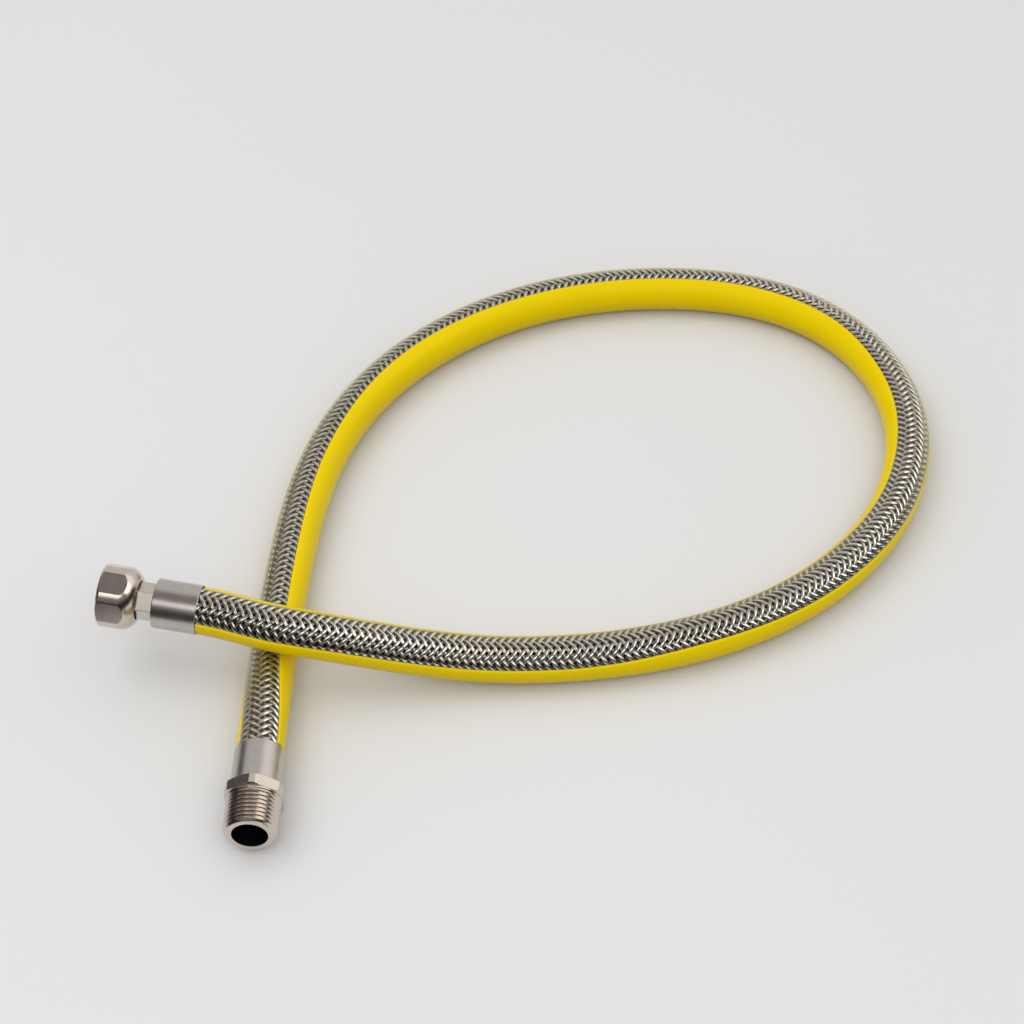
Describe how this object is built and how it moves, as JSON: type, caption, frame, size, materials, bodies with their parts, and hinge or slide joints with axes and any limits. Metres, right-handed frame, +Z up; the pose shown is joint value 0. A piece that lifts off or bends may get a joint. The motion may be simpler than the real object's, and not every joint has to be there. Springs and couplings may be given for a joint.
{
  "type": "flexible gas hose",
  "caption": "Flexible gas hose: braided core under a yellow jacket with a clear window, a taper-threaded nipple at one end and a free-turning union nut at the other.",
  "frame": {"origin": "on the surface that the hose lies on, under the middle of its bounding box", "axes": "+Z up from that surface, -Y the way the threaded nipple points, +X away from the union nut"},
  "size_m": [0.3361, 0.3207, 0.0467],
  "materials": {
    "yellow_jacket": "glossy soft PVC",
    "clear_window": "clear glossy soft PVC",
    "braid_wire": "flat plaits of bright stainless wire",
    "liner_rubber": "smooth black rubber",
    "ferrule_steel": "satin stainless sheet, drawn and crimped",
    "fitting_metal": "bright turned and plated",
    "nut_metal": "bright turned and plated",
    "gasket_rubber": "matt black"
  },
  "bodies": {
    "hose": {"jacket_yellow": "yellow_jacket", "jacket_clear_window": "clear_window", "hose_braid": "braid_wire", "hose_liner": "liner_rubber", "nipple_ferrule": "ferrule_steel", "threaded_nipple": "fitting_metal", "tail_ferrule": "ferrule_steel", "swivel_tail": "fitting_metal", "sealing_gasket": "gasket_rubber"},
    "nut": {"union_nut": "nut_metal"}
  },
  "joints": [
    {"name": "nut_spin", "type": "hinge", "parent": "hose", "child": "nut", "pos_m": [-0.15983, -0.06314, 0.03366], "axis": [-0.99, 0.1291, 0.0574], "continuous": true}
  ]
}
